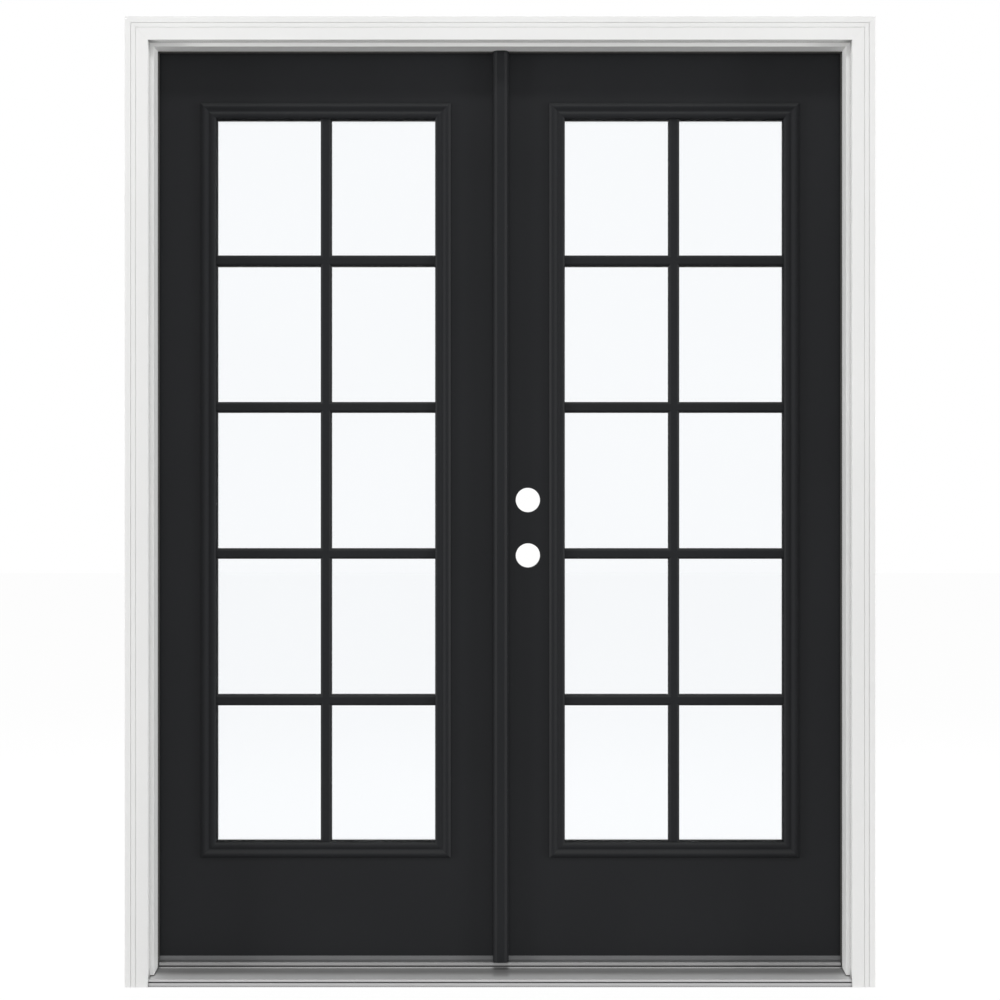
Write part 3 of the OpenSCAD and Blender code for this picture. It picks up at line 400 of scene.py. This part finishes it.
# Light from above is painted in: slopes that face up read greyer, and those that face down stay black
turned = add(tree, "ShaderNodeSeparateXYZ", [("Vector", place.outputs["Normal"])])
upward = add(tree, "ShaderNodeMapRange", [("Value", turned.outputs["Z"]), ("From Min", -0.5),
                                          ("From Max", 0.5)])
painted_top_light = add(tree, "ShaderNodeValToRGB", [("Fac", upward.outputs["Result"])],
           stops=[(0.0, "#1c1d1f"), (0.5, "#242527"), (0.9, "#2e2f30")])
tone = add(tree, "ShaderNodeMix", [("Factor", 1.0), (COLOUR_A, painted_top_light.outputs["Color"]),
                                   (COLOUR_B, mottle.outputs["Color"])],
           data_type="RGBA", blend_type="MULTIPLY")
# Sides drawn straight from the mould, square to the face, come out duller than the polished faces
facing = add(tree, "ShaderNodeMath", [(0, turned.outputs["Y"])], operation="ABSOLUTE")
rough = add(tree, "ShaderNodeMapRange", [("Value", facing.outputs[0]), ("From Min", 0.1),
                                         ("From Max", 0.4), ("To Min", 0.95), ("To Max", 0.5)])
soft_edge = add(tree, "ShaderNodeBevel", [("Radius", 0.0008)], samples=6)
bump = add(tree, "ShaderNodeBump", [("Strength", 0.1), ("Distance", 0.0003),
                                    ("Height", grain.outputs["Fac"]),
                                    ("Normal", soft_edge.outputs["Normal"])])
surface = add(tree, "ShaderNodeBsdfPrincipled", [("Base Color", tone.outputs[COLOUR_MIX]),
                                                 ("Roughness", rough.outputs["Result"]), ("IOR", 1.5),
                                                 ("Specular IOR Level", 0.1),
                                                 ("Normal", bump.outputs["Normal"])])
add(tree, "ShaderNodeOutputMaterial", [("Surface", surface.outputs[0])])
for leaf in ("active", "passive"):
    dress(black_plastic, leaf + "_outer_lite_frame", leaf + "_inner_lite_frame",
          leaf + "_outer_grille", leaf + "_inner_grille")

# Glass: two clear float panes a leaf, sealed at their edges to a black silicone foam spacer and
# held between the light frames. The tint is so slight that it only cools the white behind.
clear_glass, tree = new_material("clear_float_glass")
place = add(tree, "ShaderNodeTexCoord")
# The ribbon's thickness, and with it the tint, drifts over half a metre
drift = add(tree, "ShaderNodeTexNoise", [("Vector", place.outputs["Object"]), ("Scale", 1 / 0.5)])
tone = add(tree, "ShaderNodeValToRGB", [("Fac", drift.outputs["Fac"])],
           stops=[(0.0, "#fbfcfd"), (1.0, "#fcfdfe")])
surface = add(tree, "ShaderNodeBsdfPrincipled", [("Base Color", tone.outputs["Color"]),
                                                 ("Roughness", 0.0), ("IOR", 1.52),
                                                 ("Transmission Weight", 1.0)])
add(tree, "ShaderNodeOutputMaterial", [("Surface", surface.outputs[0])])
spacer_foam, tree = new_material("black_silicone_foam_spacer")
place = add(tree, "ShaderNodeTexCoord")
# A matt black edge with closed cells about 1.5 mm across
cells = add(tree, "ShaderNodeTexNoise", [("Vector", place.outputs["Object"]), ("Scale", 1 / 0.0015),
                                         ("Detail", 2.0)])
tone = add(tree, "ShaderNodeValToRGB", [("Fac", cells.outputs["Fac"])],
           stops=[(0.0, "#1c1c1c"), (1.0, "#2c2c2c")])
surface = add(tree, "ShaderNodeBsdfPrincipled", [("Base Color", tone.outputs["Color"]),
                                                 ("Roughness", 0.85)])
add(tree, "ShaderNodeOutputMaterial", [("Surface", surface.outputs[0])])
for leaf in ("active", "passive"):
    dress(clear_glass, leaf + "_outer_pane", leaf + "_inner_pane")
    dress(spacer_foam, leaf + "_spacer")

# Door bottoms: extruded grey vinyl with a foot and two fins, stapled under each leaf so that it
# sweeps the threshold cap.
grey_vinyl, tree = new_material("extruded_grey_vinyl")
place = add(tree, "ShaderNodeTexCoord")
# A plain mid grey with faint flow lines from the die, 2 mm apart, that run about a metre
along = add(tree, "ShaderNodeMapping", [("Vector", place.outputs["Object"]),
                                        ("Scale", (1 / 1.0, 1 / 0.002, 1 / 0.002))])
flow = add(tree, "ShaderNodeTexNoise", [("Vector", along.outputs["Vector"]), ("Scale", 1.0),
                                        ("Detail", 2.0)])
tone = add(tree, "ShaderNodeValToRGB", [("Fac", flow.outputs["Fac"])],
           stops=[(0.0, "#68696a"), (1.0, "#747576")])
surface = add(tree, "ShaderNodeBsdfPrincipled", [("Base Color", tone.outputs["Color"]),
                                                 ("Roughness", 0.55), ("IOR", 1.5),
                                                 ("Specular IOR Level", 0.3)])
add(tree, "ShaderNodeOutputMaterial", [("Surface", surface.outputs[0])])
dress(grey_vinyl, "active_door_bottom", "passive_door_bottom")

# Hinges and flush bolts: pressed and turned steel with a satin nickel finish, brushed up and down.
# Three hinges a leaf are let in flush and screwed, and the bolts slide in the passive leaf's edge.
satin_nickel, tree = new_material("satin_nickel_on_steel")
place = add(tree, "ShaderNodeTexCoord")
# A warm grey metal that brush marks 0.5 mm wide and 25 mm long streak up and down
upright = add(tree, "ShaderNodeMapping", [("Vector", place.outputs["Object"]),
                                          ("Scale", (1 / 0.0005, 1 / 0.0005, 1 / 0.025))])
brush = add(tree, "ShaderNodeTexNoise", [("Vector", upright.outputs["Vector"]), ("Scale", 1.0),
                                         ("Detail", 2.0)])
tone = add(tree, "ShaderNodeValToRGB", [("Fac", brush.outputs["Fac"])],
           stops=[(0.0, "#a09d97"), (1.0, "#b2afa8")])
rough = add(tree, "ShaderNodeMapRange", [("Value", brush.outputs["Fac"]), ("To Min", 0.25),
                                         ("To Max", 0.4)])
bump = add(tree, "ShaderNodeBump", [("Strength", 0.1), ("Distance", 0.0001),
                                    ("Height", brush.outputs["Fac"])])
surface = add(tree, "ShaderNodeBsdfPrincipled", [("Base Color", tone.outputs["Color"]),
                                                 ("Metallic", 1.0), ("Roughness", rough.outputs["Result"]),
                                                 ("Normal", bump.outputs["Normal"])])
add(tree, "ShaderNodeOutputMaterial", [("Surface", surface.outputs[0])])
for side in ("active", "passive"):
    dress(satin_nickel, side + "_jamb_hinge_plates", side + "_hinge_plates", side + "_hinge_pins")
dress(satin_nickel, "top_flush_bolt", "bottom_flush_bolt")

# Screws: cold-headed steel with a cross recess. Tapered heads, plated like the hinges, lie flush in
# the hinge leaves and the astragal. Flat round ones hold the threshold cap and, blackened to match,
# the light frames. Each kind is modelled once at its size in the CAD and copied to every place.
black_oxide, tree = new_material("black_oxide_on_steel")
place = add(tree, "ShaderNodeTexCoord")
# The blackening takes unevenly over about 1 mm and leaves the steel a dull sheen
mottle = add(tree, "ShaderNodeTexNoise", [("Vector", place.outputs["Object"]), ("Scale", 1 / 0.001),
                                          ("Detail", 2.0)])
tone = add(tree, "ShaderNodeValToRGB", [("Fac", mottle.outputs["Fac"])],
           stops=[(0.0, "#2a2a2b"), (1.0, "#3a3a3b")])
surface = add(tree, "ShaderNodeBsdfPrincipled", [("Base Color", tone.outputs["Color"]),
                                                 ("Metallic", 1.0), ("Roughness", 0.5)])
add(tree, "ShaderNodeOutputMaterial", [("Surface", surface.outputs[0])])
# Head heights and shank radii are those of the CAD screws. A hinge screw's head is as deep as the
# hinge leaf is thick
HINGE_SCREW = {"head_h": 0.0023, "shank_r": 0.0022, "tapered": True, "finish": satin_nickel}
LIGHT_SCREW = {"head_h": 0.0015, "shank_r": 0.0019, "tapered": False, "finish": black_oxide}
CAP_SCREW = {"head_h": 0.0022, "shank_r": 0.0020, "tapered": False, "finish": satin_nickel}
ASTRAGAL_SCREW = {"head_h": 0.0020, "shank_r": 0.0020, "tapered": True, "finish": satin_nickel}
HEAD_SIDES = 32
# The recess's half length and width are shares of the head's radius, and its depth is in metres
RECESS_REACH = 0.62
RECESS_WIDTH = 0.3
RECESS_DEPTH = 0.0012
# Each screw in a row is driven home this many degrees further round than the one before
SCREW_TURN = 37


def select_only(*objects):
    """Selects these objects alone and makes the first one active."""
    bpy.ops.object.select_all(action="DESELECT")
    for one in objects:
        one.select_set(True)
    bpy.context.view_layer.objects.active = objects[0]


def solid_boxes(name):
    """Low and high corners of each separate solid of a CAD node, read from a merged copy."""
    select_only(nodes[name])
    bpy.ops.object.duplicate()
    bpy.ops.object.mode_set(mode="EDIT")
    bpy.ops.mesh.select_all(action="SELECT")
    bpy.ops.mesh.remove_doubles(threshold=0.000001)
    bpy.ops.mesh.separate(type="LOOSE")
    bpy.ops.object.mode_set(mode="OBJECT")
    boxes = []
    for part in bpy.context.selected_objects:
        points = [vertex.co for vertex in part.data.vertices]
        low = [min(point[i] for point in points) for i in range(3)]
        high = [max(point[i] for point in points) for i in range(3)]
        boxes.append((low, high))
    bpy.ops.object.delete()
    return boxes


def screw(head_r, head_h, shank_r, length, tapered):
    """One screw under the origin with its head up, its shank drawn from the head and its recess cut."""
    bpy.ops.object.select_all(action="DESELECT")
    bpy.ops.mesh.primitive_cylinder_add(vertices=HEAD_SIDES, radius=head_r, depth=head_h,
                                        location=(0.0, 0.0, -head_h / 2))
    one = bpy.context.object
    bpy.ops.object.transform_apply(location=True, rotation=True, scale=True)
    bpy.ops.object.mode_set(mode="EDIT")
    bpy.ops.mesh.select_mode(type="FACE")
    bpy.ops.mesh.select_all(action="DESELECT")
    bpy.ops.object.mode_set(mode="OBJECT")
    # The shank grows from the underside of the head
    for face in one.data.polygons:
        face.select = face.normal.z < -0.9
    bpy.ops.object.mode_set(mode="EDIT")
    if tapered:
        bpy.ops.transform.resize(value=(shank_r / head_r, shank_r / head_r, 1.0))
    else:
        bpy.ops.mesh.inset(thickness=head_r - shank_r)
    bpy.ops.mesh.extrude_region_move(TRANSFORM_OT_translate={"value": (0.0, 0.0, head_h - length)})
    bpy.ops.object.mode_set(mode="OBJECT")
    for turn in (0.0, 90.0):
        select_only(one)
        bpy.ops.mesh.primitive_cube_add(size=1.0, rotation=(0.0, 0.0, radians(turn)))
        cutter = bpy.context.object
        cutter.scale = (2 * RECESS_REACH * head_r, RECESS_WIDTH * head_r, 2 * RECESS_DEPTH)
        select_only(one)
        cut = one.modifiers.new("recess", "BOOLEAN")
        cut.object = cutter
        cut.solver = "EXACT"
        bpy.ops.object.modifier_apply(modifier=cut.name)
        select_only(cutter)
        bpy.ops.object.delete()
    return one


def put_screws(name, body, facing, head_h, shank_r, tapered, finish):
    """Copies a screw to every solid of a CAD node, each turned its own way, as one piece."""
    boxes = solid_boxes(name)
    axis = [abs(value) for value in facing].index(1)
    beside = (axis + 1) % 3
    low, high = boxes[0]
    first = screw((high[beside] - low[beside]) / 2, head_h, shank_r, high[axis] - low[axis], tapered)
    stand = Vector(facing).to_track_quat("Z", "Y")
    copies = []
    for count, (low, high) in enumerate(boxes):
        select_only(first)
        bpy.ops.object.duplicate()
        one = bpy.context.object
        one.location = [(low[i] + high[i]) / 2 + facing[i] * (high[i] - low[i]) / 2 for i in range(3)]
        one.rotation_mode = "QUATERNION"
        one.rotation_quaternion = stand @ Quaternion((0.0, 0.0, 1.0), radians(SCREW_TURN * count))
        copies.append(one)
    select_only(first)
    bpy.ops.object.delete()
    select_only(*copies)
    bpy.ops.object.join()
    bpy.ops.object.transform_apply(location=True, rotation=True, scale=True)
    bpy.ops.object.shade_smooth_by_angle(angle=radians(30))
    piece = bpy.context.object
    piece.name = name + "_with_recess"
    piece.data.materials.clear()
    piece.data.materials.append(finish)
    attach(piece, body)
    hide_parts(name)


put_screws("active_jamb_hinge_screws", "frame", (-1, 0, 0), **HINGE_SCREW)
put_screws("passive_jamb_hinge_screws", "frame", (1, 0, 0), **HINGE_SCREW)
put_screws("active_hinge_screws", "active_leaf", (1, 0, 0), **HINGE_SCREW)
put_screws("passive_hinge_screws", "passive_leaf", (-1, 0, 0), **HINGE_SCREW)
put_screws("active_lite_screws", "active_leaf", (0, 1, 0), **LIGHT_SCREW)
put_screws("passive_lite_screws", "passive_leaf", (0, 1, 0), **LIGHT_SCREW)
put_screws("cap_screws", "frame", (0, 0, 1), **CAP_SCREW)
put_screws("astragal_screws", "passive_leaf", (1, 0, 0), **ASTRAGAL_SCREW)
